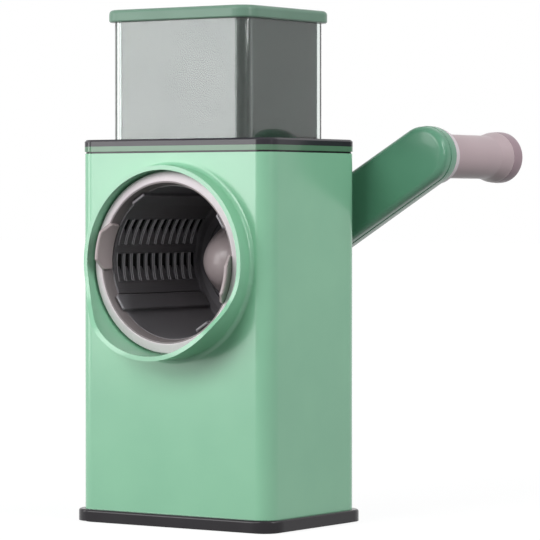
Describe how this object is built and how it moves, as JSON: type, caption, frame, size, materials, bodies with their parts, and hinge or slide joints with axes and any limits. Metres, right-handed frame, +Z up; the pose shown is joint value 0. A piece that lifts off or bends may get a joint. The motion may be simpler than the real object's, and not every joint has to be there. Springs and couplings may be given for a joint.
{
  "type": "rotary cabbage shredder",
  "caption": "Hand-cranked rotary shredder: upright housing, slotted drum in a round front mouth, clear hopper with pusher on top, crank with turning grip at the back.",
  "frame": {"origin": "middle of the underside of the non-slip pad, on the table", "axes": "+X to the right along the front, +Y from the front with the drum mouth to the back with the crank, +Z up"},
  "size_m": [0.1947, 0.2215, 0.3],
  "materials": {
    "mint_plastic": "glossy mint green moulding",
    "pearl_mint": "satin pearl mint green",
    "green_band": "glossy mid green",
    "crank_green": "glossy sage green",
    "dark_trim": "dark gloss, near black",
    "cover_trim": "gunmetal gloss",
    "drum_dark": "dark grey satin moulding",
    "mauve_grey": "satin mauve grey",
    "mauve_pale": "pale mauve white",
    "clear_smoke": "clear, slightly smoky hopper wall",
    "frosted_grey": "pale grey moulding",
    "blade_steel": "dark stamped steel",
    "shaft_steel": "turned steel",
    "bush_plastic": "self-lubricating off-white plastic",
    "pad_rubber": "soft matt rubber"
  },
  "bodies": {
    "root": {"base_trim": "dark_trim", "nonslip_pad": "pad_rubber", "base_screws": "shaft_steel", "housing": "mint_plastic", "drum_chamber": "frosted_grey", "shaft_bush": "bush_plastic", "top_seal": "dark_trim", "trim_band": "green_band", "top_cover": "cover_trim", "hopper": "clear_smoke"},
    "drive": {"drive_shaft": "shaft_steel", "crank_front_shell": "crank_green", "crank_back_shell": "crank_green", "crank_screw": "shaft_steel", "hub_cap": "mauve_grey", "grip_spindle": "shaft_steel"},
    "grip": {"grip_flange": "mauve_pale", "grip_sleeve": "mauve_grey", "grip_end_cap": "mauve_grey"},
    "drum": {"drum_frame": "drum_dark", "drum_bezel": "mauve_pale", "finger_tab_1": "mauve_grey", "finger_tab_2": "mauve_grey", "blade_strip_1": "blade_steel", "blade_strip_2": "blade_steel", "blade_strip_3": "blade_steel", "blade_strip_4": "blade_steel", "hub_cone": "mauve_grey", "hub_screws": "shaft_steel"},
    "pusher": {"pusher_cap": "pearl_mint", "pusher_plunger": "frosted_grey"}
  },
  "joints": [
    {"name": "crank_spin", "type": "hinge", "parent": "root", "child": "drive", "pos_m": [0, 0, 0.153], "axis": [0, 1, 0], "continuous": true},
    {"name": "grip_spin", "type": "hinge", "parent": "drive", "child": "grip", "pos_m": [0.10348, 0, 0.21493], "axis": [0, 1, 0], "continuous": true},
    {"name": "drum_pull", "type": "slide", "parent": "drive", "child": "drum", "axis": [0, -1, 0], "range_m": [0, 0.13]},
    {"name": "pusher_lift", "type": "slide", "parent": "root", "child": "pusher", "axis": [0, 0, 1], "range_m": [0, 0.1]}
  ]
}
